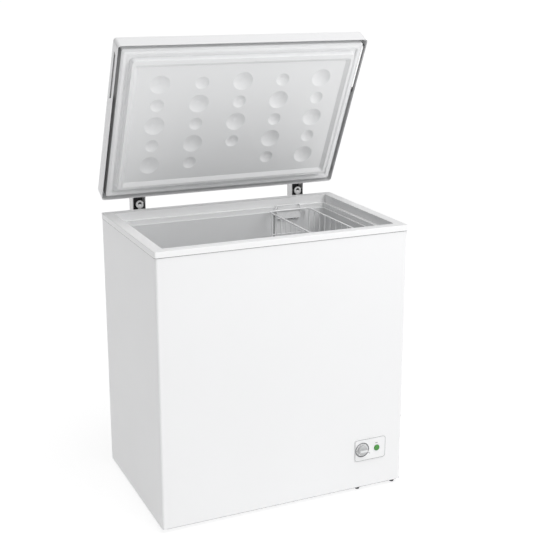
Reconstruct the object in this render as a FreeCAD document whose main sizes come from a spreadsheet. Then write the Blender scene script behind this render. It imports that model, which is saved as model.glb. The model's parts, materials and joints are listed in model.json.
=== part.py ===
import FreeCAD, Part
import os, math
from FreeCAD import Vector, Placement, Rotation

# Chest freezer, lid open.  Millimetres, +Z up, front towards -Y.
# Every piece is drawn in "cabinet" coordinates: X and Y centred on the
# cabinet, Z measured 10.3 mm under the floor.  frame_y and foot_low then shift the set so
# that the origin is the centre of the footprint with the lid open.

os.makedirs("parts", exist_ok=True)
doc = FreeCAD.newDocument("chest_freezer")
sheet = doc.addObject("Spreadsheet::Sheet", "Dims")

NUMBERS = [
    ("cab_w", 738.0), ("cab_d", 490.0), ("cab_base", 24.0), ("cab_top", 796.0),
    ("skin", 0.8), ("bend", 7.0),
    ("rim_w", 742.0), ("rim_d", 494.0), ("rim_low", 784.0), ("rim_top", 800.0),
    ("rim_wall", 2.0), ("rim_border", 30.0), ("ledge_z", 776.0), ("ledge_w", 11.0),
    ("rim_skirt", 762.0),
    ("cav_w", 650.0), ("cav_d", 402.0), ("cav_floor", 68.0), ("liner_wall", 1.5),
    ("cav_round", 16.0), ("step_x", 160.0), ("step_z", 262.0),
    ("bay_x", 190.0), ("bay_top", 225.0), ("base_plate", 2.5),
    ("lid_w", 742.0), ("lid_front", -252.0), ("lid_back", 258.0),
    ("lid_low", 802.0), ("lid_high", 848.2), ("lid_round", 10.0),
    ("lid_side", 1.0), ("lid_top_wall", 1.6),
    ("channel_w", 12.5), ("channel_h", 29.0), ("pan_z", 804.5), ("pan_wall", 1.5),
    ("crest_z", 787.0), ("panel_z", 795.0),
    ("hinge_y", 276.8), ("hinge_z", 835.1), ("lid_open", 63.5),
    ("hinge_xl", -252.0), ("hinge_xr", 265.0), ("pin_rad", 3.0),
    ("dial_x", 238.0), ("dial_z", 141.5), ("lamp_x", 286.5), ("lamp_z", 139.5),
    ("dimple_large", 29.0), ("dimple_small", 20.0), ("dimple_deep", 8.0),
    ("dimple_px", 122.0), ("dimple_py", 67.7),
    ("basket_l", 133.0), ("basket_r", 275.0), ("basket_low", 585.0), ("basket_top", 770.0),
    ("coil_rad", 2.8), ("groove", 7.4),
    ("frame_y", -16.25), ("foot_low", 10.3),
]
cells = {}
for row, (alias, number) in enumerate(NUMBERS, start=1):
    sheet.set("A%d" % row, alias)
    sheet.set("B%d" % row, str(number))
    sheet.setAlias("B%d" % row, alias)
    cells[alias] = number
doc.recompute()


class Size:
    """A number that also knows the sheet expression it came from."""

    def __init__(self, value, text):
        self.v = float(value)
        self.t = text

    def _op(self, other, sign, value):
        o = as_size(other)
        return Size(value(self.v, o.v), "(%s %s %s)" % (self.t, sign, o.t))

    def __add__(self, o): return self._op(o, "+", lambda a, b: a + b)
    def __sub__(self, o): return self._op(o, "-", lambda a, b: a - b)
    def __mul__(self, o): return self._op(o, "*", lambda a, b: a * b)
    def __truediv__(self, o): return self._op(o, "/", lambda a, b: a / b)
    def __radd__(self, o): return as_size(o) + self
    def __rsub__(self, o): return as_size(o) - self
    def __rmul__(self, o): return as_size(o) * self
    def __neg__(self): return Size(-self.v, "(0 - %s)" % self.t)


def as_size(x):
    return x if isinstance(x, Size) else Size(x, repr(float(x)))


class Cells:
    def __getattr__(self, alias):
        return Size(cells[alias], "Dims." + alias)


D = Cells()
made = {}          # node name -> list of objects whose shapes go into its file


def bind(obj, prop, size):
    size = as_size(size)
    if "Dims." in size.t:
        obj.setExpression(prop, size.t)
    else:
        bits = prop.split(".")
        if len(bits) == 1:
            setattr(obj, prop, size.v)
        else:
            obj.setExpression(prop, size.t)


def role_plane(body, role):
    for f in body.Origin.OriginFeatures:
        if f.Role == role:
            return f


class Piece:
    """One PartDesign body with its features."""

    count = 0

    def __init__(self, label):
        self.label = label
        self.body = doc.addObject("PartDesign::Body", "Body_" + label)
        self.body.Label = label

    def _name(self, stem):
        Piece.count += 1
        return "%s_%03d" % (stem, Piece.count)

    def box(self, x0, x1, y0, y1, z0, z1, cut=False):
        kind = "PartDesign::SubtractiveBox" if cut else "PartDesign::AdditiveBox"
        f = self.body.newObject(kind, self._name("Box"))
        x0, x1, y0, y1, z0, z1 = [as_size(q) for q in (x0, x1, y0, y1, z0, z1)]
        bind(f, "Length", x1 - x0)
        bind(f, "Width", y1 - y0)
        bind(f, "Height", z1 - z0)
        f.AttachmentSupport = [(role_plane(self.body, "XY_Plane"), "")]
        f.MapMode = "FlatFace"
        bind(f, "AttachmentOffset.Base.x", x0)
        bind(f, "AttachmentOffset.Base.y", y0)
        bind(f, "AttachmentOffset.Base.z", z0)
        return f

    def cyl(self, x, y, z, r, length, axis="z", cut=False):
        kind = "PartDesign::SubtractiveCylinder" if cut else "PartDesign::AdditiveCylinder"
        f = self.body.newObject(kind, self._name("Cyl"))
        bind(f, "Radius", r)
        bind(f, "Height", length)
        f.AttachmentSupport = [(role_plane(self.body, "XY_Plane"), "")]
        f.MapMode = "FlatFace"
        rot = {"z": Rotation(), "x": Rotation(Vector(0, 1, 0), 90),
               "y": Rotation(Vector(1, 0, 0), -90), "-y": Rotation(Vector(1, 0, 0), 90)}[axis]
        f.AttachmentOffset = Placement(Vector(0, 0, 0), rot)
        bind(f, "AttachmentOffset.Base.x", x)
        bind(f, "AttachmentOffset.Base.y", y)
        bind(f, "AttachmentOffset.Base.z", z)
        return f

    def outline(self, plane, offset, pts):
        """Closed axis-aligned outline; each point is (u, v, round)."""
        s = self.body.newObject("Sketcher::SketchObject", self._name("Sketch"))
        s.AttachmentSupport = [(role_plane(self.body, plane), "")]
        s.MapMode = "FlatFace"
        bind(s, "AttachmentOffset.Base.z", offset)
        pts = [(as_size(p[0]), as_size(p[1]), as_size(p[2] if len(p) > 2 else 0)) for p in pts]
        n = len(pts)

        def unit(a, b):
            du, dv = b[0].v - a[0].v, b[1].v - a[1].v
            L = math.hypot(du, dv)
            return du / L, dv / L

        nodes = []         # (u, v) in order, with arc marks
        for i, p in enumerate(pts):
            a, b = pts[i - 1], pts[(i + 1) % n]
            if p[2].v > 1e-9:
                ua, ub = unit(p, a), unit(p, b)
                start = (p[0] + p[2] * round(ua[0]), p[1] + p[2] * round(ua[1]))
                end = (p[0] + p[2] * round(ub[0]), p[1] + p[2] * round(ub[1]))
                centre = (p[0].v + p[2].v * (round(ua[0]) + round(ub[0])),
                          p[1].v + p[2].v * (round(ua[1]) + round(ub[1])))
                nodes.append((start, "arc", end, centre, p[2]))
            else:
                nodes.append(((p[0], p[1]), "pt", None, None, None))
        starts = []
        segs = []
        for nd in nodes:
            if nd[1] == "arc":
                segs.append(("arc", nd[0], nd[2], nd[3], nd[4]))
        m = len(nodes)
        order = []
        for i in range(m):
            nd = nodes[i]
            nx = nodes[(i + 1) % m]
            if nd[1] == "arc":
                order.append(("arc", nd[0], nd[2], nd[3], nd[4]))
                here = nd[2]
            else:
                here = nd[0]
            order.append(("line", here, nx[0], None, None))
        ids = []
        for k in order:
            if k[0] == "line":
                g = Part.LineSegment(Vector(k[1][0].v, k[1][1].v, 0), Vector(k[2][0].v, k[2][1].v, 0))
                ids.append((s.addGeometry(g, False), 1, 2))
            else:
                c = k[3]
                r = k[4].v
                a0 = math.atan2(k[1][1].v - c[1], k[1][0].v - c[0])
                a1 = math.atan2(k[2][1].v - c[1], k[2][0].v - c[0])
                turn = (a1 - a0) % (2 * math.pi)
                if turn <= math.pi:
                    g = Part.ArcOfCircle(Part.Circle(Vector(c[0], c[1], 0), Vector(0, 0, 1), r), a0, a0 + turn)
                    ids.append((s.addGeometry(g, False), 1, 2))
                else:
                    g = Part.ArcOfCircle(Part.Circle(Vector(c[0], c[1], 0), Vector(0, 0, 1), r), a1,
                                         a1 + (2 * math.pi - turn))
                    ids.append((s.addGeometry(g, False), 2, 1))
        import Sketcher
        for i in range(len(ids)):
            a, b = ids[i], ids[(i + 1) % len(ids)]
            s.addConstraint(Sketcher.Constraint("Coincident", a[0], a[2], b[0], b[1]))
        for i, k in enumerate(order):
            gid, p1, p2 = ids[i]
            if k[0] == "line":
                for axis, what, val in (("DistanceX", "u", k[1][0]), ("DistanceY", "v", k[1][1])):
                    c = s.addConstraint(Sketcher.Constraint(axis, -1, 1, gid, p1, val.v))
                    s.renameConstraint(c, "%s%d" % (what, i))
                    if "Dims." in val.t:
                        s.setExpression("Constraints.%s%d" % (what, i), val.t)
            else:
                # the start of an arc is the end of the line before it
                for axis, what, val in (("DistanceX", "u", k[1][0]), ("DistanceY", "v", k[1][1])):
                    c = s.addConstraint(Sketcher.Constraint(axis, -1, 1, gid, p1, val.v))
                    s.renameConstraint(c, "%s%d" % (what, i))
                    if "Dims." in val.t:
                        s.setExpression("Constraints.%s%d" % (what, i), val.t)
                c = s.addConstraint(Sketcher.Constraint("Radius", gid, k[4].v))
                s.renameConstraint(c, "r%d" % i)
                if "Dims." in k[4].t:
                    s.setExpression("Constraints.r%d" % i, k[4].t)
        return s

    def pad(self, sketch, length):
        f = self.body.newObject("PartDesign::Pad", self._name("Pad"))
        f.Profile = sketch
        bind(f, "Length", length)
        return f

    def pocket(self, sketch, length):
        f = self.body.newObject("PartDesign::Pocket", self._name("Pocket"))
        f.Profile = sketch
        f.Reversed = True
        bind(f, "Length", length)
        return f

    def rounded(self, x0, x1, y0, y1, z0, z1, r, cut=False):
        """Rounded rectangle in plan, from z0 to z1."""
        sk = self.outline("XY_Plane", z0, [(x0, y0, r), (x1, y0, r), (x1, y1, r), (x0, y1, r)])
        h = as_size(z1) - as_size(z0)
        return self.pocket(sk, h) if cut else self.pad(sk, h)

    def loft(self, low, high, cut=False):
        """low/high: (x0, x1, y0, y1, z, r)."""
        sk = []
        for x0, x1, y0, y1, z, r in (low, high):
            sk.append(self.outline("XY_Plane", z, [(x0, y0, r), (x1, y0, r), (x1, y1, r), (x0, y1, r)]))
        f = self.body.newObject("PartDesign::SubtractiveLoft" if cut else "PartDesign::AdditiveLoft",
                                self._name("Loft"))
        f.Profile = sk[0]
        f.Sections = [sk[1]]
        f.Ruled = True
        return f

    def fillet(self, test, r, chamfer=False):
        """Round the edges for which test(edge) is true."""
        doc.recompute()
        base = self.body.Tip
        names = ["Edge%d" % (i + 1) for i, e in enumerate(base.Shape.Edges) if test(e)]
        f = self.body.newObject("PartDesign::Chamfer" if chamfer else "PartDesign::Fillet", self._name("Round"))
        f.Base = (base, names)
        if chamfer:
            f.Size = r
        else:
            f.Radius = r
        doc.recompute()
        return f


def vertical(e, x=None, y=None, tol=0.6):
    b = e.BoundBox
    if b.ZLength < 1 or b.XLength > 0.01 or b.YLength > 0.01:
        return False
    if x is not None and abs(abs(b.XMin) - x) > tol:
        return False
    if y is not None and abs(abs(b.YMin) - y) > tol:
        return False
    return True


def at_height(e, z):
    b = e.BoundBox
    return abs(b.ZMin - z) < 0.01 and abs(b.ZMax - z) < 0.01


# ---- Part primitives bound to the sheet -------------------------------------

def prim(kind, label, x, y, z, axis="z", **sizes):
    o = doc.addObject("Part::" + kind, label)
    o.Label = label
    rot = {"z": Rotation(), "x": Rotation(Vector(0, 1, 0), 90), "-x": Rotation(Vector(0, 1, 0), -90),
           "y": Rotation(Vector(1, 0, 0), -90), "-y": Rotation(Vector(1, 0, 0), 90)}[axis]
    o.Placement = Placement(Vector(0, 0, 0), rot)
    for k, val in sizes.items():
        bind(o, k, val)
    for k, val in (("x", x), ("y", y), ("z", z)):
        bind(o, "Placement.Base." + k, val)
    return o


def boolean(kind, label, base, tool):
    o = doc.addObject("Part::" + kind, label)
    o.Label = label
    o.Base = base
    o.Tool = tool
    return o


def fuse(label, items):
    o = doc.addObject("Part::MultiFuse", label)
    o.Label = label
    o.Shapes = items
    return o


def group(label, items):
    o = doc.addObject("Part::Compound", label)
    o.Label = label
    o.Links = items
    return o


def tube(label, pts, radius, bend):
    """Solid round tube along straight runs joined by tangent arcs."""
    pts = [Vector(*p) for p in pts]
    edges = []
    here = pts[0]
    for i in range(1, len(pts) - 1):
        a, p, b = pts[i - 1], pts[i], pts[i + 1]
        u, w = (a - p).normalize(), (b - p).normalize()
        half = u.getAngle(w) / 2.0
        cut = bend / math.tan(half)
        s, e = p + u * cut, p + w * cut
        mid_dir = (u + w).normalize()
        centre = p + mid_dir * (bend / math.sin(half))
        m = centre - mid_dir * bend
        if (s - here).Length > 1e-6:
            edges.append(Part.LineSegment(here, s).toShape())
        edges.append(Part.Arc(s, m, e).toShape())
        here = e
    edges.append(Part.LineSegment(here, pts[-1]).toShape())
    wire = Part.Wire(edges)
    t = (edges[0].Vertexes[1].Point - edges[0].Vertexes[0].Point).normalize()
    disc = Part.Wire([Part.Circle(pts[0], t, radius).toShape()])
    solid = wire.makePipeShell([disc], True, False)
    if solid.Volume < 0:
        solid.reverse()
    want = math.pi * radius ** 2 * wire.Length
    if abs(solid.Volume - want) > 0.02 * want:
        raise RuntimeError("tube %s volume %.1f, expected %.1f" % (label, solid.Volume, want))
    o = doc.addObject("Part::Feature", label)
    o.Label = label
    o.Shape = solid
    return o


cabinet, lid, basket, knob = [], [], [], []      # which pieces move with what


def node(name, obj, where):
    made[name] = obj
    where.append(name)


def body_node(piece, where):
    node(piece.label, piece.body, where)


hw, hd = D.cab_w / 2, D.cab_d / 2
rw, rd = D.rim_w / 2, D.rim_d / 2
cw, cd = D.cav_w / 2, D.cav_d / 2
lw = D.lid_w / 2

# ============================ cabinet ========================================
# outer wrap: one sheet bent round the left side, the front and the right side
p = Piece("outer_wrap")
sk = p.outline("XY_Plane", D.cab_base, [
    (-hw, hd), (-hw, -hd, D.bend), (hw, -hd, D.bend), (hw, hd),
    (hw - D.skin, hd), (hw - D.skin, -hd + D.skin, D.bend - D.skin),
    (-hw + D.skin, -hd + D.skin, D.bend - D.skin), (-hw + D.skin, hd)])
p.pad(sk, D.cab_top - D.cab_base)
p.cyl(D.dial_x, -hd - 1, D.dial_z, 7.0, 4, "y", cut=True)
p.cyl(D.lamp_x, -hd - 1, D.lamp_z, 9.3, 4, "y", cut=True)
for i in range(9):                                    # cooling louvres, right side
    p.box(hw - 2, hw + 1, 20, 190, 60 + 14 * i, 65 + 14 * i, cut=True)
body_node(p, cabinet)

p = Piece("back_panel")
p.box(-hw + D.skin + 0.2, hw - D.skin - 0.2, hd - D.skin, hd, D.cab_base + 2.4, D.cab_top)
p.box(205, 352, hd - 3, hd + 3, 38, 212, cut=True)    # opening behind the compressor
body_node(p, cabinet)

p = Piece("bottom_pan")
p.box(-hw + 1, D.bay_x, -hd + 1, hd - 1, D.cab_base + 0.8, D.cab_base + 2.0)
for yy in (-190, 190):
    p.cyl(-338, yy, 10, 4.2, 20, cut=True)
body_node(p, cabinet)

p = Piece("compressor_base")
base_z = D.cab_base + 0.8
p.box(D.bay_x + 0.3, hw - 1, -hd + 1, hd - 1, base_z, base_z + D.base_plate)
for xx in (236, 352):
    for yy in (-225, 225):
        p.cyl(xx, yy, 10, 4.2, 20, cut=True)
for xx in (218, 342):
    for yy in (-18, 138):
        p.cyl(xx, yy, 10, 4.2, 20, cut=True)
for i in range(5):                                    # air slots under the compressor
    p.box(250, 310, -20 + 34 * i, -8 + 34 * i, 10, 30, cut=True)
body_node(p, cabinet)

p = Piece("machine_bulkhead")
sk = p.outline("XZ_Plane", -hd + 1, [
    (D.bay_x, base_z + D.base_plate), (D.bay_x + 0.8, base_z + D.base_plate),
    (D.bay_x + 0.8, D.bay_top - 0.8), (hw - 1, D.bay_top - 0.8),
    (hw - 1, D.bay_top), (D.bay_x, D.bay_top)])
p.pad(sk, D.cab_d - 2)
body_node(p, cabinet)

# insulation moulded between the wrap and the liner
lo = D.liner_wall
p = Piece("cabinet_foam")
p.rounded(-hw + 1, hw - 1, -hd + 1, hd - 1, D.cab_base + 2.2, D.rim_top - 2.4, 6.0)
p.rounded(-cw - lo, D.step_x + lo, -cd - lo, cd + lo, D.cav_floor - lo, D.rim_top + 2, D.cav_round, cut=True)
p.rounded(-cw - lo, cw + lo, -cd - lo, cd + lo, D.step_z - lo, D.rim_top + 2, D.cav_round, cut=True)
p.box(D.step_x + lo - 17, D.step_x + lo, -cd - lo, cd + lo, D.cav_floor - lo, D.step_z, cut=True)
p.box(D.bay_x, hw + 2, -hd, hd, 10, D.bay_top, cut=True)
r_out = D.rim_border + 2.2
p.rounded(-rw + D.rim_border - 2.2, rw - D.rim_border + 2.2, -rd + D.rim_border - 2.2, rd - D.rim_border + 2.2,
          D.ledge_z - 2.2, D.rim_top + 2, 8.0, cut=True)
inx, iny = rw - D.rim_border - D.ledge_w, rd - D.rim_border - D.ledge_w
p.rounded(-inx - 2.2, inx + 2.2, -iny - 2.2, iny + 2.2, D.rim_skirt - 1.7, D.rim_top + 2, 8.0, cut=True)
EVAP = [320 + 70 * i for i in range(6)]
for zz in EVAP:                                       # grooves for the evaporator turns
    p.rounded(-cw - lo - D.groove, cw + lo + D.groove, -cd - lo - D.groove, cd + lo + D.groove,
              zz - 3.7, zz + 3.7, D.cav_round + D.groove, cut=True)
p.box(-60, 60, cd - 1, cd + lo + D.groove, EVAP[0] - 3.7, EVAP[-1] + 3.7, cut=True)
COND = [355 + 70 * i for i in range(5)]
for zz in COND:                                       # grooves for the warm tubes under the skin
    p.box(-hw, -hw + 1 + D.groove, -hd, 226, zz - 3.2, zz + 3.2, cut=True)
    p.box(hw - 1 - D.groove, hw, -hd, 226, zz - 3.2, zz + 3.2, cut=True)
    p.box(-hw, hw, -hd, -hd + 1 + D.groove, zz - 3.2, zz + 3.2, cut=True)
for sx in (-1, 1):
    if sx < 0:
        p.box(-hw, -hw + 16, -hd, -hd + 16, COND[0] - 3.2, COND[-1] + 3.2, cut=True)
        p.box(-hw, -hw + 1 + D.groove, 196, 226, COND[0] - 3.2, COND[-1] + 3.2, cut=True)
    else:
        p.box(hw - 16, hw, -hd, -hd + 16, COND[0] - 3.2, COND[-1] + 3.2, cut=True)
        p.box(hw - 1 - D.groove, hw, 196, 226, COND[0] - 3.2, COND[-1] + 3.2, cut=True)
for yy in (-190, 190):                                # room for the foot studs
    p.cyl(-338, yy, 10, 9, 24, cut=True)
body_node(p, cabinet)

p = Piece("inner_liner")
p.rounded(-cw - lo, cw + lo, -cd - lo, cd + lo, D.cav_floor - lo, D.rim_skirt - 1.5, D.cav_round)
p.rounded(-inx - 2, inx + 2, -iny - 2, iny + 2, D.rim_skirt - 1.5, D.rim_skirt, 8.0)
p.box(D.step_x + lo, cw + 20, -cd - 20, cd + 20, D.cav_floor - 10, D.step_z - lo, cut=True)
p.rounded(-cw, D.step_x, -cd, cd, D.cav_floor, D.rim_top, D.cav_round - lo, cut=True)
p.rounded(-cw, cw, -cd, cd, D.step_z, D.rim_top, D.cav_round - lo, cut=True)
p.box(D.step_x - 3.6, D.step_x - 0.6, cd - 1, cd + 0.9, D.step_z + 8, D.rim_skirt - 8, cut=True)
body_node(p, cabinet)

p = Piece("top_rim")
p.box(-rw, rw, -rd, rd, D.rim_low, D.rim_top)
p.fillet(lambda e: vertical(e), 5.0)
p.fillet(lambda e: at_height(e, cells["rim_top"]), 1.5)
p.box(-hw, hw, -hd, hd, D.rim_low - 1, D.rim_top - 2.2, cut=True)
p.rounded(-rw + D.rim_border - 2.2, rw - D.rim_border + 2.2, -rd + D.rim_border - 2.2, rd - D.rim_border + 2.2,
          D.ledge_z - 2.2, D.rim_top - 1.0, 8.0)
p.rounded(-inx - 2.2, inx + 2.2, -iny - 2.2, iny + 2.2, D.rim_skirt, D.ledge_z - 1.0, 8.0)
p.rounded(-rw + D.rim_border, rw - D.rim_border, -rd + D.rim_border, rd - D.rim_border,
          D.ledge_z, D.rim_top + 1, 5.8, cut=True)
p.rounded(-inx, inx, -iny, iny, D.rim_skirt - 1, D.rim_top, 5.8, cut=True)
p.cyl(rw - D.rim_border - 0.8, 175, 789, 5.0, 2, "x")
body_node(p, cabinet)

# feet: tapered, each with its stud and nut
FEET = [(236, -225), (352, -225), (236, 225), (352, 225), (-338, -190), (-338, 190)]
items, studs = [], []
for i, (x, y) in enumerate(FEET):
    cone = prim("Cone", "foot_cone_%d" % i, x, y, D.foot_low, Radius1=6.5, Radius2=9.5, Height=base_z - D.foot_low)
    bore = prim("Cylinder", "foot_bore_%d" % i, x, y, D.foot_low + 4, Radius=4.2, Height=40)
    items.append(boolean("Cut", "foot_%d" % i, cone, bore))
    rod = prim("Cylinder", "stud_%d" % i, x, y, D.foot_low + 5, Radius=4.0, Height=18)
    nut = prim("Prism", "nut_%d" % i, x, y, base_z + D.base_plate, Circumradius=7.5, Height=5.0)
    studs.append(fuse("foot_stud_%d" % i, [rod, nut]))
node("levelling_feet", group("levelling_feet", items), cabinet)
node("foot_studs", group("foot_studs", studs), cabinet)

p = Piece("rear_grille")
p.box(196, 362, hd, hd + 1.4, 30, 222)
for i in range(11):
    p.box(212, 346, hd - 1, hd + 3, 62 + 13 * i, 68 + 13 * i, cut=True)
p.cyl(338, hd - 1, 46, 7.0, 4, "y", cut=True)
body_node(p, cabinet)

items = []
for i, (x, z) in enumerate(((201, 36), (357, 36), (201, 216), (357, 216))):
    items.append(prim("Cylinder", "grille_screw_%d" % i, x, hd + 1.4, z, "y", Radius=3.4, Height=2.0))
node("grille_screws", group("grille_screws", items), cabinet)

p = Piece("cord_inlet")
p.cyl(338, hd - 3, 46, 6.8, 9, "y")
p.cyl(338, hd + 1.4, 46, 9.5, 3, "y")
p.cyl(338, hd - 5, 46, 3.6, 20, "y", cut=True)
body_node(p, cabinet)

# ---- machine bay -------------------------------------------------------------
CX, CY = 280.0, 60.0
p = Piece("compressor")
p.cyl(CX, CY, 44, 60, 132)
p.fillet(lambda e: at_height(e, 176.0), 30.0)
p.fillet(lambda e: at_height(e, 44.0), 18.0)
p.cyl(CX, CY, 104, 63, 6)
p.box(CX - 72, CX + 72, CY - 88, CY + 88, 41.5, 44.5)
p.cyl(CX, CY - 68, 120, 12, 20, "y")
for xx in (218, 342):
    for yy in (-18, 138):
        p.cyl(xx, yy, 30, 4.2, 30, cut=True)
body_node(p, cabinet)

gro, bol = [], []
for i, (x, y) in enumerate(((218, -18), (342, -18), (218, 138), (342, 138))):
    a = prim("Cylinder", "grommet_out_%d" % i, x, y, base_z + D.base_plate, Radius=10, Height=14.2)
    b = prim("Cylinder", "grommet_in_%d" % i, x, y, 15, Radius=4.2, Height=40)
    gro.append(boolean("Cut", "grommet_%d" % i, a, b))
    h = prim("Prism", "bolt_head_%d" % i, x, y, base_z - 4, Circumradius=7.0, Height=4.0)
    s = prim("Cylinder", "bolt_shank_%d" % i, x, y, base_z - 4, Radius=3.9, Height=32)
    n = prim("Prism", "bolt_nut_%d" % i, x, y, 44.5, Circumradius=7.0, Height=5.0)
    bol.append(fuse("bolt_%d" % i, [h, s, n]))
node("compressor_grommets", group("compressor_grommets", gro), cabinet)
node("compressor_bolts", group("compressor_bolts", bol), cabinet)

p = Piece("relay_cover")
p.box(CX - 24, CX + 24, CY - 104, CY - 68.2, 92, 148)
p.fillet(lambda e: vertical(e), 5.0)
p.box(CX - 22, CX + 22, CY - 102, CY - 60, 94, 146, cut=True)
body_node(p, cabinet)

a = prim("Cylinder", "drier_can", 212, 170, 80, Radius=9.5, Height=70)
b = prim("Cone", "drier_low", 212, 170, 66, Radius1=2.6, Radius2=9.5, Height=14)
c = prim("Cone", "drier_high", 212, 170, 150, Radius1=9.5, Radius2=2.6, Height=14)
node("filter_drier", fuse("filter_drier", [a, b, c]), cabinet)
node("capillary_tube", tube("capillary_tube", [(212, 170, 164), (212, 170, 190), (230, 170, 200), (230, 170, 224)],
                            1.2, 6.0), cabinet)
node("discharge_tube", tube("discharge_tube", [(CX, CY + 60.02, 90), (CX, CY + 90, 90), (CX + 20, CY + 90, 140),
                                               (CX + 20, CY + 90, 224)], 2.8, 12.0), cabinet)
node("suction_tube", tube("suction_tube", [(CX + 60.02, CY, 125), (CX + 76, CY, 125), (CX + 76, CY, 224)],
                          3.6, 9.0), cabinet)

# evaporator: full turns round the liner, stepped up at the back
ea = cells["cav_w"] / 2 + 1.5 + 3.2
eb = cells["cav_d"] / 2 + 1.5 + 3.2
pts = [(18, eb, EVAP[0])]
for i, zz in enumerate(EVAP):
    ring = [(ea, eb, zz), (ea, -eb, zz), (-ea, -eb, zz), (-ea, eb, zz)]
    if i % 2:
        ring.reverse()
    pts += ring
    x_end = -18 if i % 2 == 0 else 18
    pts.append((x_end, eb, zz))
    if i + 1 < len(EVAP):
        pts.append((x_end, eb, EVAP[i + 1]))
node("evaporator_coil", tube("evaporator_coil", pts, cells["coil_rad"], 19.2), cabinet)

# condenser: tubes under the skin of the left side, front and right side
ca = cells["cab_w"] / 2 - 0.8 - 0.2 - 3.2
cf = -cells["cab_d"] / 2 + 0.8 + 0.2 + 3.2
pts = [(-ca, 190, COND[0])]
for i, zz in enumerate(COND):
    run = [(-ca, cf, zz), (ca, cf, zz)]
    ends = [(-ca, 214, zz), (ca, 214, zz)]
    if i % 2:
        run.reverse()
        ends.reverse()
    if i > 0:
        pts.append(ends[0])
    pts += run
    if i + 1 < len(COND):
        pts.append(ends[1])
    else:
        pts.append((ends[1][0], 190, zz))
node("condenser_coil", tube("condenser_coil", pts, cells["coil_rad"] - 0.2, 11.0), cabinet)

# ---- controls ----------------------------------------------------------------
p = Piece("control_bezel")
px0, px1, pz0, pz1 = 213.8, 316.0, 105.5, 174.0
sk = p.outline("XZ_Plane", hd, [(px0, pz0, 9), (px1, pz0, 9), (px1, pz1, 9), (px0, pz1, 9)])
p.pad(sk, 2.0)
p.cyl(D.dial_x, -hd - 3.2, D.dial_z, 22.6, 1.4, "y")
p.cyl(D.dial_x, -hd - 4.0, D.dial_z, 20.4, 2.0, "y", cut=True)
p.cyl(D.dial_x, -hd - 5, D.dial_z, 7.2, 8, "y", cut=True)
p.cyl(D.lamp_x, -hd - 5, D.lamp_z, 9.3, 8, "y", cut=True)
body_node(p, cabinet)

p = Piece("thermostat_body")
p.box(D.dial_x - 21, D.dial_x + 21, -hd + 1.2, -hd + 36, D.dial_z - 22, D.dial_z + 22)
p.cyl(D.dial_x, -hd - 1.5, D.dial_z, 6.6, 4, "y")
p.cyl(D.dial_x, -hd - 5, D.dial_z, 3.05, 30, "y", cut=True)
body_node(p, cabinet)

p = Piece("lamp_holder")
p.box(D.lamp_x - 11, D.lamp_x + 11, -hd + 1.2, -hd + 22, D.lamp_z - 11, D.lamp_z + 11)
p.cyl(D.lamp_x, -hd, D.lamp_z, 9.0, 8, "y", cut=True)
body_node(p, cabinet)

p = Piece("indicator_lens")
p.cyl(D.lamp_x, -hd - 4.2, D.lamp_z, 8.9, 10, "y")
p.fillet(lambda e: abs(e.BoundBox.YMin - (-cells["cab_d"] / 2 - 4.2)) < 0.01 and e.BoundBox.YLength < 0.01, 1.6)
body_node(p, cabinet)

node("sensor_capillary", tube("sensor_capillary", [(238, -226, 163.5), (238, -226, 190), (256, -214, 204),
                                                   (256, -214, 224)], 1.1, 6.0), cabinet)

p = Piece("thermostat_shaft")
p.cyl(D.dial_x, -hd - 11, D.dial_z, 3.0, 35, "y")
body_node(p, knob)

p = Piece("thermostat_knob")
p.cyl(D.dial_x, -hd - 10.5, D.dial_z, 14.6, 8.0, "y")
p.fillet(lambda e: abs(e.BoundBox.YMin - (-cells["cab_d"] / 2 - 10.5)) < 0.01 and e.BoundBox.YLength < 0.01, 1.2)
p.box(D.dial_x - 13.5, D.dial_x + 13.5, -hd - 15.5, -hd - 9.5, D.dial_z - 3.4, D.dial_z + 3.4)
p.cyl(D.dial_x, -hd - 11.2, D.dial_z, 3.0, 12, "y", cut=True)
body_node(p, knob)

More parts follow.
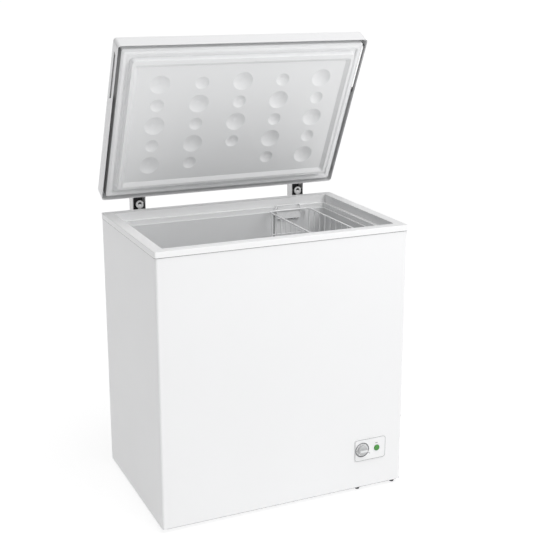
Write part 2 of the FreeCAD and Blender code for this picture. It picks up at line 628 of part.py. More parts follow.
# ============================ hinges, cabinet side ===========================
HX = [D.hinge_xl, D.hinge_xr]
br, pins, spr, yok, cov, scr = [], [], [], [], [], []
for i, hx in enumerate(HX):
    a = prim("Box", "bracket_block_%d" % i, hx - 20, hd, 690, Length=40, Width=46, Height=154)
    b = prim("Box", "bracket_room_%d" % i, hx - 18, hd + 2, 680, Length=36, Width=60, Height=180)
    c = prim("Box", "bracket_step_%d" % i, hx - 30, hd - 5, 797, Length=60, Width=21, Height=80)
    d = prim("Cylinder", "bracket_bore_%d" % i, hx - 30, D.hinge_y, D.hinge_z, "x", Radius=D.pin_rad + 0.04, Height=60)
    e = prim("Box", "bracket_rim_%d" % i, hx - 30, hd - 5, 783.6, Length=60, Width=7.3, Height=20)
    cutters = fuse("bracket_cut_%d" % i, [b, c, d, e])
    br.append(boolean("Cut", "bracket_%d" % i, a, cutters))
    s = prim("Cylinder", "pin_shank_%d" % i, hx - 20, D.hinge_y, D.hinge_z, "x", Radius=D.pin_rad, Height=40)
    h1 = prim("Cylinder", "pin_head_l_%d" % i, hx - 22.5, D.hinge_y, D.hinge_z, "x", Radius=5.2, Height=2.5)
    h2 = prim("Cylinder", "pin_head_r_%d" % i, hx + 20, D.hinge_y, D.hinge_z, "x", Radius=5.2, Height=2.5)
    pins.append(fuse("pin_%d" % i, [s, h1, h2]))
    # yoke: flat strap with a ring at its top, which carries the spring load
    ring = prim("Cylinder", "yoke_ring_%d" % i, hx + 2.5, 262.5, 809.7, "y", Radius=12.0, Height=4.0)
    strap = prim("Box", "yoke_strap_%d" % i, hx - 2.5, 262.5, 700, Length=10, Width=4, Height=104)
    hole = prim("Cylinder", "yoke_hole_%d" % i, hx + 2.5, 260, 811.5, "y", Radius=5.4, Height=9)
    solid = fuse("yoke_solid_%d" % i, [ring, strap])
    yok.append(boolean("Cut", "yoke_%d" % i, solid, hole))
    plate = prim("Box", "cover_plate_%d" % i, hx - 20, hd + 46, 688, Length=40, Width=2, Height=158)
    cov.append(plate)
    for j, (dx, zz) in enumerate(((-11, 702), (11, 702), (-11, 776), (11, 776))):
        scr.append(prim("Cylinder", "hinge_screw_%d_%d" % (i, j), hx + dx, hd + 2, zz, "y", Radius=3.2, Height=2.2))
node("hinge_brackets", group("hinge_brackets", br), cabinet)
node("hinge_pins", group("hinge_pins", pins), cabinet)
node("spring_yokes", group("spring_yokes", yok), cabinet)
node("hinge_covers", group("hinge_covers", cov), cabinet)
node("hinge_screws", group("hinge_screws", scr), cabinet)

# compression springs round the yokes
coils = []
for i, hx in enumerate(HX):
    helix = Part.makeHelix(9.0, 81.0, 10.6)
    disc = Part.Wire([Part.Circle(Vector(10.6, 0, 0), Vector(0, 1, 0), 1.5).toShape()])
    coil = Part.Wire(helix.Edges).makePipeShell([disc], True, True)
    if coil.Volume < 0:
        coil.reverse()
    o = doc.addObject("Part::Feature", "coil_%d" % i)
    o.Label = "coil_%d" % i
    o.Shape = coil
    o.Placement = Placement(Vector(hx.v + 2.5, 264.5, 703), Rotation())
    coils.append(o)
node("hinge_springs", group("hinge_springs", coils), cabinet)

# ============================ lid (drawn closed) =============================
def inset(q):
    return (-lw + q, lw - q, D.lid_front + q, D.lid_back - q)


p = Piece("lid_outer_shell")
x0, x1, y0, y1 = inset(0)
p.rounded(x0, x1, y0, y1, D.lid_low, D.lid_high, D.lid_round)
p.fillet(lambda e: at_height(e, cells["lid_high"]), 4.0)
x0, x1, y0, y1 = inset(D.lid_side)
p.rounded(x0, x1, y0, y1, D.lid_low - 1, D.lid_high - D.lid_top_wall, D.lid_round - D.lid_side, cut=True)
for sx in (-1, 1):                                    # finger slots in both sides
    off = -lw - 2 if sx < 0 else lw - 3
    sk = p.outline("YZ_Plane", off, [(-216, D.lid_low + 11), (-84, D.lid_low + 11), (-74, D.lid_low + 27),
                                     (-222, D.lid_low + 27)])
    f = p.body.newObject("PartDesign::Pocket", p._name("Notch"))
    f.Profile = sk
    f.Reversed = True
    f.Length = 5.0
body_node(p, lid)

top_in = D.lid_low + D.channel_h                      # roof of the finger channel
p = Piece("lid_liner_sheet")
x0, x1, y0, y1 = inset(D.channel_w)
p.rounded(x0, x1, y0, y1, D.pan_z, top_in + 1.5, 6.0)
x0, x1, y0, y1 = inset(D.lid_side + 0.2)
p.rounded(x0, x1, y0, y1, top_in, top_in + 1.5, D.lid_round - D.lid_side - 0.2)
x0, x1, y0, y1 = inset(D.channel_w + D.pan_wall)
p.rounded(x0, x1, y0, y1, D.pan_z + D.pan_wall, top_in + 3, 4.5, cut=True)
p.loft((-334, 334, -214.5, 215.5, D.pan_z + 0.5, 12), (-331, 331, -212, 213, D.crest_z, 10))
p.loft((-332.5, 332.5, -213.0, 214.0, D.pan_z + D.pan_wall + 0.5, 10.5),
       (-329.5, 329.5, -210.5, 211.5, D.crest_z + D.pan_wall, 8.5), cut=True)
p.loft((-324.7, 324.7, -201.7, 207.2, D.crest_z + 0.6, 7.5), (-312.5, 312.5, -189.5, 195.0, D.panel_z + 1.5, 5.3))
p.loft((-323.7, 323.7, -200.7, 206.2, D.crest_z - 0.5, 7.0), (-312, 312, -189, 194.5, D.panel_z, 5.0), cut=True)


def dimples(stem, extra, base):
    """Spherical caps standing above the panel; base is the height of their flat side."""
    out = []
    for ix in range(-2, 3):
        for iy in range(-2, 3):
            if ix == 0 and iy == 2:
                continue
            big = (ix + iy) % 2 == 0
            rr = cells["dimple_large"] if big else cells["dimple_small"]
            dd = cells["dimple_deep"] if big else cells["dimple_deep"] * 0.75
            R = (rr * rr + dd * dd) / (2 * dd)
            zc = cells["panel_z"] + dd - R
            o = doc.addObject("Part::Sphere", "%s_%d_%d" % (stem, ix + 2, iy + 2))
            o.Radius = R + extra
            o.Angle1 = math.degrees(math.asin((base - zc) / (R + extra)))
            bind(o, "Placement.Base.x", D.dimple_px * ix)
            bind(o, "Placement.Base.y", D.dimple_py * iy + 3)
            bind(o, "Placement.Base.z", zc)
            out.append(o)
    return group(stem + "_set", out)


pz = cells["panel_z"]
backs = dimples("dimple_back", 1.5, pz + 1.0)
fronts = dimples("dimple_front", 0.0, pz - 1.0)
with_backs = boolean("Fuse", "liner_with_backs", p.body, backs)
node("lid_inner_liner", boolean("Cut", "lid_inner_liner", with_backs, fronts), lid)

p = Piece("lid_foam_block")
x0, x1, y0, y1 = inset(D.lid_side + 0.2)
p.rounded(x0, x1, y0, y1, top_in + 1.7, D.lid_high - D.lid_top_wall - 0.2, D.lid_round - D.lid_side - 0.2)
x0, x1, y0, y1 = inset(D.channel_w + D.pan_wall + 0.2)
p.rounded(x0, x1, y0, y1, D.pan_z + D.pan_wall + 0.2, top_in + 2.5, 4.3)
p.loft((-332.3, 332.3, -212.8, 213.8, D.pan_z + D.pan_wall + 0.7, 10.3),
       (-329.3, 329.3, -210.3, 211.3, D.crest_z + D.pan_wall + 0.2, 8.3))
p.loft((-324.9, 324.9, -201.9, 207.4, D.crest_z + 0.6, 7.7), (-312.7, 312.7, -189.7, 195.2, D.panel_z + 1.7, 5.5), cut=True)
caps = dimples("dimple_room", 1.7, pz + 1.0)
node("lid_foam", boolean("Cut", "lid_foam", p.body, caps), lid)

p = Piece("lid_gasket")
x0, x1, y0, y1 = inset(14.5)
p.rounded(x0, x1, y0, y1, 802.3, D.pan_z, 6.0)
x0, x1, y0, y1 = inset(17.5)
p.rounded(x0, x1, y0, y1, 800.6, 802.5, 5.0)
x0, x1, y0, y1 = inset(26.5)
p.rounded(x0, x1, y0, y1, 800.0, 802.3, 4.0, cut=True)
x0, x1, y0, y1 = inset(29.5)
p.rounded(x0, x1, y0, y1, 800.0, 806, 3.0, cut=True)
body_node(p, lid)

# edge trims behind the finger slots
items = []
for i, sx in enumerate((-1, 1)):
    xa = -lw + D.lid_side + 0.2 if sx < 0 else lw - D.lid_side - 2.4
    a = prim("Box", "grip_block_%d" % i, xa, -228, D.lid_low + 8, Length=2.2, Width=160, Height=20.6)
    b = prim("Box", "grip_room_%d" % i, xa - 2, -223, D.lid_low + 10.6, Length=7, Width=150, Height=16.6)
    items.append(boolean("Cut", "grip_%d" % i, a, b))
node("lid_side_grips", group("lid_side_grips", items), lid)

lv, ls = [], []
for i, hx in enumerate(HX):
    web = prim("Box", "leaf_web_%d" % i, hx - 16, D.lid_back, 806, Length=32, Width=2.2, Height=39)
    ears = []
    for j, dx in enumerate((-16, 14)):
        e1 = prim("Box", "leaf_ear_%d_%d" % (i, j), hx + dx, D.lid_back, D.hinge_z - 9, Length=2.0,
                  Width=D.hinge_y - D.lid_back, Height=18)
        e2 = prim("Cylinder", "leaf_eye_%d_%d" % (i, j), hx + dx, D.hinge_y, D.hinge_z, "x", Radius=9, Height=2.0)
        ears += [e1, e2]
    solid = fuse("leaf_solid_%d" % i, [web] + ears)
    bore = prim("Cylinder", "leaf_bore_%d" % i, hx - 30, D.hinge_y, D.hinge_z, "x", Radius=D.pin_rad + 0.06, Height=60)
    lv.append(boolean("Cut", "leaf_%d" % i, solid, bore))
    for j, (dx, zz) in enumerate(((-8, 812), (8, 812), (-8, 839), (8, 839))):
        ls.append(prim("Cylinder", "leaf_screw_%d_%d" % (i, j), hx + dx, D.lid_back + 2.2, zz, "y", Radius=3.0, Height=1.6))
node("hinge_leaves", group("hinge_leaves", lv), lid)
node("leaf_screws", group("leaf_screws", ls), lid)

# ============================ basket ==========================================
# plain solid of the basket's true outer shape: floor, four walls, two hanging lips
bl, brr = D.basket_l, D.basket_r
t = 1.2
items = [
    prim("Box", "basket_floor", bl, -194, D.basket_low, Length=brr - bl, Width=388, Height=t),
    prim("Box", "basket_side_a", bl, -194, D.basket_low + t, Length=t, Width=388, Height=D.basket_top - D.basket_low - t),
    prim("Box", "basket_side_b", brr - t, -194, D.basket_low + t, Length=t, Width=388,
         Height=D.basket_top - D.basket_low - t),
    prim("Box", "basket_end_a", bl + t, -194, D.basket_low + t, Length=brr - bl - 2 * t, Width=t,
         Height=D.basket_top - D.basket_low - t),
    prim("Box", "basket_end_b", bl + t, 194 - t, D.basket_low + t, Length=brr - bl - 2 * t, Width=t,
         Height=D.basket_top - D.basket_low - t),
]
for i, sy in enumerate((-1, 1)):
    for j, xx in enumerate((162, 242)):
        up = prim("Box", "hook_up_%d_%d" % (i, j), xx, 194 if sy > 0 else -199, 750, Length=4, Width=5, Height=30.3)
        over = prim("Box", "hook_over_%d_%d" % (i, j), xx, 199 if sy > 0 else -212, D.ledge_z + 0.3, Length=4,
                    Width=13, Height=4)
        items.append(fuse("hook_%d_%d" % (i, j), [up, over]))
node("wire_basket", group("wire_basket", items), basket)

doc.recompute()

# ---- placements ---------------------------------------------------------------
fy = cells["frame_y"]
shift = Placement(Vector(0, fy, -cells["foot_low"]), Rotation())
c = Vector(0, cells["hinge_y"], cells["hinge_z"])
turn = Placement(Vector(0, 0, 0), Rotation(Vector(1, 0, 0), -cells["lid_open"]), c)
open_lid = shift.multiply(turn)
for name in cabinet + basket + knob:
    made[name].Placement = shift.multiply(made[name].Placement)
for name in lid:
    made[name].Placement = open_lid.multiply(made[name].Placement)
doc.recompute()

# ---- verdict and files ---------------------------------------------------------
bad = []
for o in doc.Objects:
    if "Invalid" in o.State or "Error" in o.State:
        bad.append("%s (%s) %s" % (o.Name, o.Label, o.State))
for name, o in made.items():
    s = o.Shape
    if s.isNull() or not s.isValid() or s.Volume <= 0:
        bad.append("%s shape null/invalid/empty" % name)
if bad:
    raise RuntimeError("failed: " + "; ".join(bad))
total = FreeCAD.BoundBox()
for name in sorted(made):
    s = made[name].Shape
    s.exportStep("parts/%s.step" % name)
    total.add(s.BoundBox)
    print("%-22s solids %2d  volume %12.1f" % (name, len(s.Solids), s.Volume))
print("nodes %d" % len(made))
print("box x %.2f %.2f  y %.2f %.2f  z %.2f %.2f" % (total.XMin, total.XMax, total.YMin, total.YMax, total.ZMin, total.ZMax))
print("y centre %.3f" % ((total.YMin + total.YMax) / 2))
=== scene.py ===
import bpy, bmesh, math, json, random
from mathutils import Vector, Matrix

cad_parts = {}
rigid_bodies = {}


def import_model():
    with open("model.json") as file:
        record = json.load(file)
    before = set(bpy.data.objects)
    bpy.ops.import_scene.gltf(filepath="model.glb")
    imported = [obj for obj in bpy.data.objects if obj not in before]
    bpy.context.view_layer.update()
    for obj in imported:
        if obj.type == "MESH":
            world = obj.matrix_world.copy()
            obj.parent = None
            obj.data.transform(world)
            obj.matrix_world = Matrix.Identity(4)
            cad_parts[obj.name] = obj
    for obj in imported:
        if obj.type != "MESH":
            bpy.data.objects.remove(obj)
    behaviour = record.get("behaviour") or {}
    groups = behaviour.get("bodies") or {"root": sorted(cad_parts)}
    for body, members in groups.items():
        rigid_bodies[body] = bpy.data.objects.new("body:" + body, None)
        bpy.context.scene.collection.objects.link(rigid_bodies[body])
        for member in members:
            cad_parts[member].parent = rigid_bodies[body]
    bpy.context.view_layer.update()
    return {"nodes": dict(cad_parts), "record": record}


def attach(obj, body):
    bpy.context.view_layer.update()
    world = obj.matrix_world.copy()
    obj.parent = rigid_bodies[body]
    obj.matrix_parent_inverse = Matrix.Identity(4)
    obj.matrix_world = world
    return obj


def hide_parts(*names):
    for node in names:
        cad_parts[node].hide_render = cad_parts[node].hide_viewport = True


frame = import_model()
FY = -0.01625                      # cabinet centre in the frame, along Y
FZ = -0.0103                       # the floor, against the height the cabinet is drawn at
MM = 0.001
rng = random.Random(7)
scene = bpy.context.scene
scene.view_settings.view_transform = "Standard"
scene.view_settings.look = "None"


def P(x, y, z):
    """Cabinet coordinates in millimetres to the frame in metres."""
    return Vector((x * MM, y * MM + FY, z * MM + FZ))


HY, HZ, OPEN = 276.8, 835.1, math.radians(63.5)


def L(x, y, z):
    """A point of the closed lid, carried to where the open lid has it."""
    dy, dz = y - HY, z - HZ
    c, s = math.cos(OPEN), math.sin(OPEN)
    return P(x, HY + dy * c + dz * s, HZ - dy * s + dz * c)


# ------------------------------------------------------------------ camera
AZ, EL, ROLL = math.radians(-25.68), math.radians(14.98), math.radians(0.44)
DIST, F_PX, CX, CY = 3213.9, 1091.33, 305.52, 252.55
TARGET = (169.9, 0.0, 681.1)
back = Vector((math.sin(AZ) * math.cos(EL), -math.cos(AZ) * math.cos(EL), math.sin(EL)))
right0 = Vector((math.cos(AZ), math.sin(AZ), 0))
up0 = back.cross(right0)
right = right0 * math.cos(ROLL) + up0 * math.sin(ROLL)
up = up0 * math.cos(ROLL) - right0 * math.sin(ROLL)
cam_data = bpy.data.cameras.new("camera")
cam = bpy.data.objects.new("camera", cam_data)
scene.collection.objects.link(cam)
loc = P(*TARGET) + back * DIST * MM
cam.matrix_world = Matrix((
    (right.x, up.x, back.x, loc.x),
    (right.y, up.y, back.y, loc.y),
    (right.z, up.z, back.z, loc.z),
    (0, 0, 0, 1)))
cam_data.sensor_width = 36.0
cam_data.lens = F_PX / 550.0 * 36.0
cam_data.shift_x = (275.0 - CX) / 550.0
cam_data.shift_y = (CY - 275.0) / 550.0
cam_data.clip_end = 50.0
scene.camera = cam

# ------------------------------------------------------------------ stage
world = bpy.data.worlds.new("studio")
scene.world = world
world.use_nodes = True
world.node_tree.nodes["Background"].inputs[0].default_value = (1.0, 1.0, 1.0, 1.0)
world.node_tree.nodes["Background"].inputs[1].default_value = 0.22


def area(name, where, aim, size, power, size_y=None):
    d = bpy.data.lights.new(name, "AREA")
    d.shape = "RECTANGLE"
    d.size = size
    d.size_y = size_y or size
    d.energy = power
    o = bpy.data.objects.new(name, d)
    scene.collection.objects.link(o)
    o.location = where
    o.rotation_euler = (Vector(aim) - Vector(where)).to_track_quat("-Z", "Y").to_euler()
    return o


def sun(name, towards, strength, angle):
    """A soft directional light; towards points from the object to the light."""
    d = bpy.data.lights.new(name, "SUN")
    d.energy = strength
    d.angle = math.radians(angle)
    o = bpy.data.objects.new(name, d)
    scene.collection.objects.link(o)
    o.rotation_euler = Vector(towards).to_track_quat("Z", "Y").to_euler()
    return o


area("key", (1.25, -1.65, 2.35), (0.05, 0.0, 0.9), 1.1, 20.0)
sun("overhead", (0.12, -0.30, 1.0), 1.6, 50.0)
sun("front", (0.42, -1.0, 0.08), 0.52, 35.0)


# ------------------------------------------------------------------ materials
def shader(name):
    m = bpy.data.materials.new(name)
    m.use_nodes = True
    nt = m.node_tree
    b = nt.nodes["Principled BSDF"]
    return m, nt, b


def link(nt, a, b):
    nt.links.new(a, b)


def coords(nt):
    return nt.nodes.new("ShaderNodeTexCoord").outputs["Object"]


def noise(nt, scale, detail=4.0, rough=0.5, stretch=None, src=None):
    n = nt.nodes.new("ShaderNodeTexNoise")
    n.inputs["Scale"].default_value = scale
    n.inputs["Detail"].default_value = detail
    n.inputs["Roughness"].default_value = rough
    c = src or coords(nt)
    if stretch:
        mp = nt.nodes.new("ShaderNodeMapping")
        mp.inputs["Scale"].default_value = stretch
        link(nt, c, mp.inputs["Vector"])
        c = mp.outputs["Vector"]
    link(nt, c, n.inputs["Vector"])
    return n.outputs["Fac"]


def ramp(nt, src, stops):
    r = nt.nodes.new("ShaderNodeValToRGB")
    e = r.color_ramp.elements
    while len(e) < len(stops):
        e.new(0.5)
    for el, (pos, col) in zip(e, stops):
        el.position = pos
        el.color = (col[0], col[1], col[2], 1.0) if isinstance(col, (tuple, list)) else (col, col, col, 1.0)
    link(nt, src, r.inputs["Fac"])
    return r.outputs["Color"]


def math_node(nt, op, a, b):
    n = nt.nodes.new("ShaderNodeMath")
    n.operation = op
    for i, q in enumerate((a, b)):
        if isinstance(q, (int, float)):
            n.inputs[i].default_value = q
        else:
            link(nt, q, n.inputs[i])
    return n.outputs[0]


def bump(nt, height, strength, distance, normal=None):
    n = nt.nodes.new("ShaderNodeBump")
    n.inputs["Strength"].default_value = strength
    n.inputs["Distance"].default_value = distance
    link(nt, height, n.inputs["Height"])
    if normal is not None:
        link(nt, normal, n.inputs["Normal"])
    return n.outputs["Normal"]


def shade(c, k):
    return tuple(min(1.0, q * k) for q in c)


def finish(name, color, rough=(0.3, 0.42), vary=0.03, grain=900.0, grain_amt=0.12, grain_mm=0.05,
           wave=0.0, metallic=0.0, coat=0.0, stretch=None, cloud=3.0, speckle=0.0, ior=None, spec=None,
           grime=None):
    """A plastic, paint or metal finish: tone clouds, uneven gloss, fine grain and long waves in the surface."""
    m, nt, b = shader(name)
    b.inputs["Metallic"].default_value = metallic
    b.inputs["Coat Weight"].default_value = coat
    if coat:
        b.inputs["Coat Roughness"].default_value = 0.12
    if ior:
        b.inputs["IOR"].default_value = ior
    if spec is not None:
        b.inputs["Specular IOR Level"].default_value = spec
    clouds = noise(nt, cloud, 5.0, 0.55)
    lo, hi = shade(color, 1.0 - vary), shade(color, 1.0 + vary * 0.5)
    col = ramp(nt, clouds, [(0.3, lo), (0.7, hi)])
    if speckle:
        sp = noise(nt, grain * 0.8, 2.0, 0.7)
        mix = nt.nodes.new("ShaderNodeMixRGB")
        mix.blend_type = "MULTIPLY"
        mix.inputs[0].default_value = 1.0
        link(nt, col, mix.inputs[1])
        link(nt, ramp(nt, sp, [(0.35, 1.0 - speckle), (0.6, 1.0)]), mix.inputs[2])
        col = mix.outputs[0]
    if grime is not None:
        mix = nt.nodes.new("ShaderNodeMixRGB")
        mix.blend_type = "MULTIPLY"
        mix.inputs[0].default_value = 1.0
        link(nt, col, mix.inputs[1])
        link(nt, grime(nt), mix.inputs[2])
        col = mix.outputs[0]
    link(nt, col, b.inputs["Base Color"])
    rn = noise(nt, 14.0, 6.0, 0.6, stretch)
    link(nt, ramp(nt, rn, [(0.3, rough[0]), (0.7, rough[1])]), b.inputs["Roughness"])
    nrm = None
    if wave:
        nrm = bump(nt, noise(nt, 9.0, 1.0, 0.3), wave, 0.002)
    nrm = bump(nt, noise(nt, grain, 3.0, 0.5, stretch), grain_amt, grain_mm * MM, nrm)
    link(nt, nrm, b.inputs["Normal"])
    return m


WHITE = (0.88, 0.885, 0.89)
M = {}
M["white_paint"] = finish("white_paint", (0.86, 0.862, 0.868), (0.30, 0.38), 0.010, 260.0, 0.06, 0.05)
M["trim_white"] = finish("trim_white", (0.88, 0.882, 0.885), (0.32, 0.42), 0.010, 300.0, 0.05, 0.04)
M["lid_white"] = finish("lid_white", (0.86, 0.862, 0.868), (0.32, 0.40), 0.010, 280.0, 0.05, 0.05)
M["liner_white"] = finish("liner_white", (0.80, 0.805, 0.81), (0.40, 0.52), 0.012, 320.0, 0.06, 0.05)
M["galvanised"] = finish("galvanised", (0.52, 0.53, 0.54), (0.32, 0.55), 0.10, 300.0, 0.12, 0.04, metallic=0.9, cloud=40.0, speckle=0.12)
M["zinc"] = finish("zinc", (0.80, 0.80, 0.80), (0.34, 0.52), 0.05, 500.0, 0.12, 0.04, metallic=0.3, cloud=30.0)
M["foam"] = finish("foam", (0.80, 0.70, 0.42), (0.75, 0.9), 0.08, 500.0, 0.8, 0.4, cloud=12.0, speckle=0.15)
M["dark_plastic"] = finish("dark_plastic", (0.035, 0.035, 0.038), (0.45, 0.62), 0.10, 1500.0, 0.35, 0.05)
M["black_rubber"] = finish("black_rubber", (0.02, 0.02, 0.021), (0.6, 0.8), 0.12, 1200.0, 0.4, 0.06)
M["black_paint"] = finish("black_paint", (0.018, 0.018, 0.02), (0.22, 0.4), 0.15, 500.0, 0.3, 0.08, coat=0.3)
M["copper"] = finish("copper", (0.72, 0.38, 0.22), (0.22, 0.45), 0.12, 400.0, 0.15, 0.04, metallic=1.0, cloud=60.0)
M["tube_aluminium"] = finish("tube_aluminium", (0.70, 0.71, 0.72), (0.3, 0.5), 0.05, 500.0, 0.12, 0.04, metallic=1.0)
M["tube_steel"] = finish("tube_steel", (0.16, 0.16, 0.17), (0.35, 0.5), 0.08, 500.0, 0.15, 0.04, metallic=0.6)
M["panel_grey"] = finish("panel_grey", (0.86, 0.862, 0.868), (0.28, 0.38), 0.010, 500.0, 0.06, 0.03)
# painted shade: the white knob is coloured mid grey (0.55), standing in for the darker shading the knob shows
M["knob_white"] = finish("knob_white", (0.55, 0.555, 0.56), (0.28, 0.40), 0.02, 600.0, 0.1, 0.03)
M["spring_steel"] = finish("spring_steel", (0.30, 0.30, 0.31), (0.25, 0.45), 0.08, 600.0, 0.15, 0.04, metallic=1.0, cloud=50.0)
M["gasket_grey"] = finish("gasket_grey", (0.84, 0.844, 0.85), (0.5, 0.66), 0.03, 1500.0, 0.25, 0.04)
M["basket_white"] = finish("basket_white", (0.88, 0.885, 0.89), (0.22, 0.34), 0.02, 800.0, 0.3, 0.1, coat=0.3)

# green lamp lens, moulded with fine rings
m, nt, b = shader("green_lens")
b.inputs["Base Color"].default_value = (0.06, 0.36, 0.045, 1)
b.inputs["Coat Weight"].default_value = 0.6
b.inputs["Coat Roughness"].default_value = 0.05
b.inputs["Emission Color"].default_value = (0.05, 0.45, 0.04, 1)
b.inputs["Emission Strength"].default_value = 0.05
tone = ramp(nt, noise(nt, 160.0, 3.0), [(0.3, (0.026, 0.21, 0.013)), (0.7, (0.040, 0.27, 0.022))])
link(nt, tone, b.inputs["Base Color"])
link(nt, ramp(nt, noise(nt, 220.0, 3.0), [(0.3, 0.12), (0.7, 0.24)]), b.inputs["Roughness"])
link(nt, bump(nt, noise(nt, 900.0, 2.0), 0.2, 0.00006), b.inputs["Normal"])
M["green_lens"] = m

M["ink"] = finish("ink", (0.10, 0.105, 0.11), (0.4, 0.55), 0.1, 2000.0, 0.1, 0.01)
# painted shade: a grey for thin lines that stand in for the shade in gaps, grooves and under edges
M["painted_line_shade"] = finish("painted_line_shade", (0.24, 0.245, 0.25), (0.4, 0.55), 0.06, 2000.0, 0.1, 0.01)
# painted shade: a dark grey for the side channels of the lid and the trims behind the finger slots, which lie in deep
# shade
M["painted_channel_shade"] = finish("painted_channel_shade", (0.27, 0.272, 0.275), (0.5, 0.65), 0.03, 500.0, 0.1, 0.03)
M["shadow_gap"] = finish("shadow_gap", (0.06, 0.06, 0.063), (0.6, 0.75), 0.05, 900.0, 0.2, 0.03)
M["pale_tip"] = finish("pale_tip", (0.80, 0.805, 0.81), (0.3, 0.4), 0.02, 600.0, 0.1, 0.03)

SLOT = {s["node"]: s["material_slot"] for s in frame["record"]["subparts"]}
nodes = frame["nodes"]
BEVEL = {"outer_wrap": 0.5, "top_rim": 1.2, "lid_outer_shell": 0.8, "lid_inner_liner": 1.1, "control_bezel": 0.5,
         "thermostat_knob": 0.9, "lid_gasket": 0.9, "inner_liner": 1.2, "levelling_feet": 0.8, "rear_grille": 0.4,
         "hinge_brackets": 0.4, "hinge_leaves": 0.4, "hinge_covers": 0.6, "spring_yokes": 0.6, "relay_cover": 0.6,
         "lid_side_grips": 0.3}
for name, obj in nodes.items():
    slot = SLOT[name]
    if obj.material_slots:
        for ms in obj.material_slots:
            ms.material = M[slot]
    else:
        obj.data.materials.append(M[slot])
    if name == "lid_inner_liner":
        w = obj.modifiers.new("weld", "WELD")
        w.merge_threshold = 0.00002
        es = obj.modifiers.new("crease", "EDGE_SPLIT")
        es.split_angle = math.radians(15)
    elif name in BEVEL:
        w = obj.modifiers.new("weld", "WELD")
        w.merge_threshold = 0.00002
        bv = obj.modifiers.new("bevel", "BEVEL")
        bv.width = BEVEL[name] * MM
        bv.segments = 3
        bv.limit_method = "ANGLE"
        bv.angle_limit = math.radians(38)
        bv.harden_normals = False
        bv.use_clamp_overlap = True
        wn = obj.modifiers.new("normals", "WEIGHTED_NORMAL")
        wn.mode = "FACE_AREA"
        wn.weight = 100
        wn.keep_sharp = False


# ------------------------------------------------------------------ mesh helpers
def mesh_object(name, bm, slot, body, smooth=True):
    me = bpy.data.meshes.new(name)
    bmesh.ops.recalc_face_normals(bm, faces=bm.faces)
    bm.to_mesh(me)
    bm.free()
    o = bpy.data.objects.new(name, me)
    scene.collection.objects.link(o)
    me.materials.append(M[slot])
    for f in me.polygons:
        f.use_smooth = smooth
    if smooth:
        es = o.modifiers.new("crease", "EDGE_SPLIT")
        es.split_angle = math.radians(40)
    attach(o, body)
    return o


def round_path(pts, r, n=6, closed=False):
    """Points of a path whose corners are turned into arcs of radius r."""
    pts = [Vector(p) for p in pts]
    out = []
    m = len(pts)
    for i, p in enumerate(pts):
        if not closed and i in (0, m - 1):
            out.append(p)
            continue
        a, b = pts[i - 1], pts[(i + 1) % m]
        u, w = (a - p), (b - p)
        lu, lw = u.length, w.length
        u.normalize(); w.normalize()
        ang = u.angle(w)
        if ang > math.radians(178):
            out.append(p)
            continue
        rr = min(r, 0.45 * min(lu, lw) * math.tan(ang / 2))
        cut = rr / math.tan(ang / 2)
        mid = (u + w).normalized()
        centre = p + mid * (rr / math.sin(ang / 2))
        s, e = p + u * cut, p + w * cut
        vs, ve = s - centre, e - centre
        total = vs.angle(ve)
        ax = vs.cross(ve).normalized()
        for k in range(n + 1):
            out.append(centre + Matrix.Rotation(total * k / n, 3, ax) @ vs)
    return out


def tube(bm, pts, radius, segs=10, closed=False, section=None):
    """Adds a tube along pts; the section argument is not used."""
    n = len(pts)
    tang = []
    for i in range(n):
        a = pts[(i - 1) % n] if (closed or i > 0) else pts[i]
        b = pts[(i + 1) % n] if (closed or i < n - 1) else pts[i]
        tang.append((b - a).normalized())
    t0 = tang[0]
    ref = Vector((0, 0, 1)) if abs(t0.z) < 0.9 else Vector((1, 0, 0))
    nrm = (ref - t0 * ref.dot(t0)).normalized()
    rings = []
    for i in range(n):
        if i:
            axis = tang[i - 1].cross(tang[i])
            if axis.length > 1e-9:
                nrm = Matrix.Rotation(tang[i - 1].angle(tang[i]), 3, axis.normalized()) @ nrm
            nrm = (nrm - tang[i] * nrm.dot(tang[i])).normalized()
        bi = tang[i].cross(nrm)
        ring = []
        for k in range(segs):
            a = 2 * math.pi * k / segs
            ring.append(bm.verts.new(pts[i] + nrm * (math.cos(a) * radius) + bi * (math.sin(a) * radius)))
        rings.append(ring)
    last = n if closed else n - 1
    for i in range(last):
        r0, r1 = rings[i], rings[(i + 1) % n]
        for k in range(segs):
            bm.faces.new((r0[k], r0[(k + 1) % segs], r1[(k + 1) % segs], r1[k]))
    if not closed:
        bm.faces.new(rings[0])
        bm.faces.new(list(reversed(rings[-1])))


def plate(bm, corners, normal, thick):
    """A thin closed plate on a polygon outline."""
    n = Vector(normal).normalized() * thick
    lo = [bm.verts.new(Vector(c)) for c in corners]
    hi = [bm.verts.new(Vector(c) + n) for c in corners]
    bm.faces.new(lo)
    bm.faces.new(list(reversed(hi)))
    k = len(lo)
    for i in range(k):
        bm.faces.new((lo[i], hi[i], hi[(i + 1) % k], lo[(i + 1) % k]))


def rr_outline(x0, x1, y0, y1, r, n=6):
    pts = []
    for cx, cy, a0 in ((x1 - r, y0 + r, -90), (x1 - r, y1 - r, 0), (x0 + r, y1 - r, 90), (x0 + r, y0 + r, 180)):
        for k in range(n + 1):
            a = math.radians(a0 + 90.0 * k / n)
            pts.append((cx + r * math.cos(a), cy + r * math.sin(a)))
    return pts


